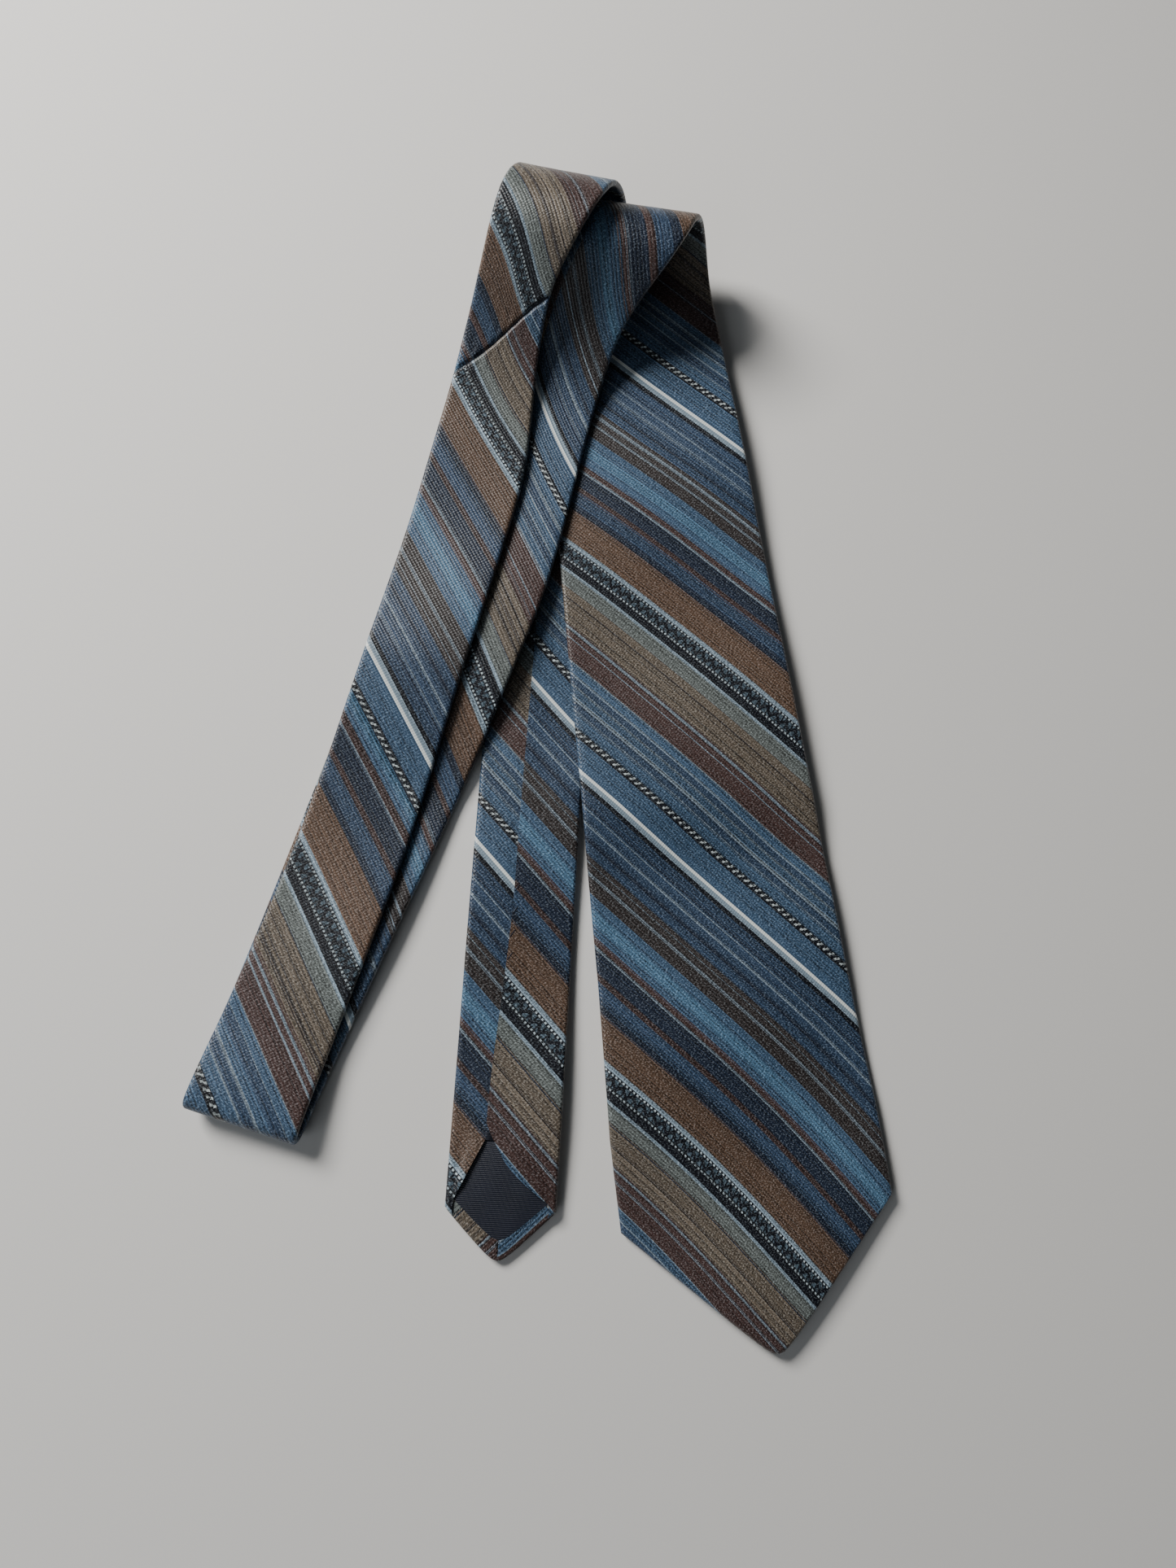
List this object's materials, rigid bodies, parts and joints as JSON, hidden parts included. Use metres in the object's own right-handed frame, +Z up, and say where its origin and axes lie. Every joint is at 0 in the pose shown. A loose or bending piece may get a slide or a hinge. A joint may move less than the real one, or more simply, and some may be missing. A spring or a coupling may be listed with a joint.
{
  "type": "necktie",
  "caption": "Striped silk necktie laid down and folded back on itself, with its wide blade face up, two open arches and a doubled neck.",
  "frame": {"origin": "on the table, at the middle of the box round the whole laid tie", "axes": "+Y along the wide blade from its point towards the arches, +X to its right seen from above, +Z up"},
  "size_m": [0.2188, 0.4084, 0.0443],
  "materials": {
    "shell": "woven silk in bias stripes of blues, navy, brown, tan and ivory with a soft sheen",
    "lining": "plain near-black navy lining with a fine rib",
    "interlining": "brushed off-white wool blend, matte",
    "thread": "matte dark sewing thread"
  },
  "bodies": {
    "laid_tie": {"blade_shell_upper": "shell", "interlining_blade_upper": "interlining", "slip_stitch_blade_upper": "thread", "keeper_loop": "shell", "keeper_tack_left": "thread", "keeper_tack_right": "thread", "neck_shell_top": "shell", "neck_tail_seam": "thread", "tail_shell_upper": "shell", "interlining_tail_upper": "interlining", "slip_stitch_tail_upper": "thread"},
    "doubled_neck": {"blade_shell_strip": "shell", "interlining_strip": "interlining", "slip_stitch_strip": "thread", "blade_shell_return": "shell", "blade_neck_seam": "thread", "neck_shell_return": "shell", "interlining_return": "interlining", "slip_stitch_return": "thread"},
    "neck_end": {"blade_shell_fold": "shell", "interlining_fold": "interlining", "slip_stitch_fold": "thread"},
    "blade_end": {"blade_shell_end": "shell", "interlining_blade_end": "interlining", "slip_stitch_blade_end": "thread", "blade_lining": "lining", "blade_bar_tack": "thread"},
    "tail_end": {"tail_shell_end": "shell", "interlining_tail_end": "interlining", "slip_stitch_tail_end": "thread", "tail_lining": "lining", "tail_bar_tack": "thread"}
  },
  "joints": [
    {"name": "neck_lift", "type": "hinge", "parent": "laid_tie", "child": "doubled_neck", "pos_m": [0.00731, 0.09889, 0.00845], "axis": [-0.9037, 0.4281, 0], "range_deg": [0, 100]},
    {"name": "neck_end_lift", "type": "hinge", "parent": "doubled_neck", "child": "neck_end", "pos_m": [-0.05245, -0.02724, 0.00265], "axis": [-0.9037, 0.4281, 0], "range_deg": [0, 70]},
    {"name": "blade_lift", "type": "hinge", "parent": "laid_tie", "child": "blade_end", "pos_m": [0.06542, -0.05424, 0.0012], "axis": [-1, 0, 0], "range_deg": [0, 75]},
    {"name": "tail_lift", "type": "hinge", "parent": "laid_tie", "child": "tail_end", "pos_m": [0.00694, -0.0287, 0.0012], "axis": [-0.9833, 0.1822, 0], "range_deg": [0, 70]}
  ]
}
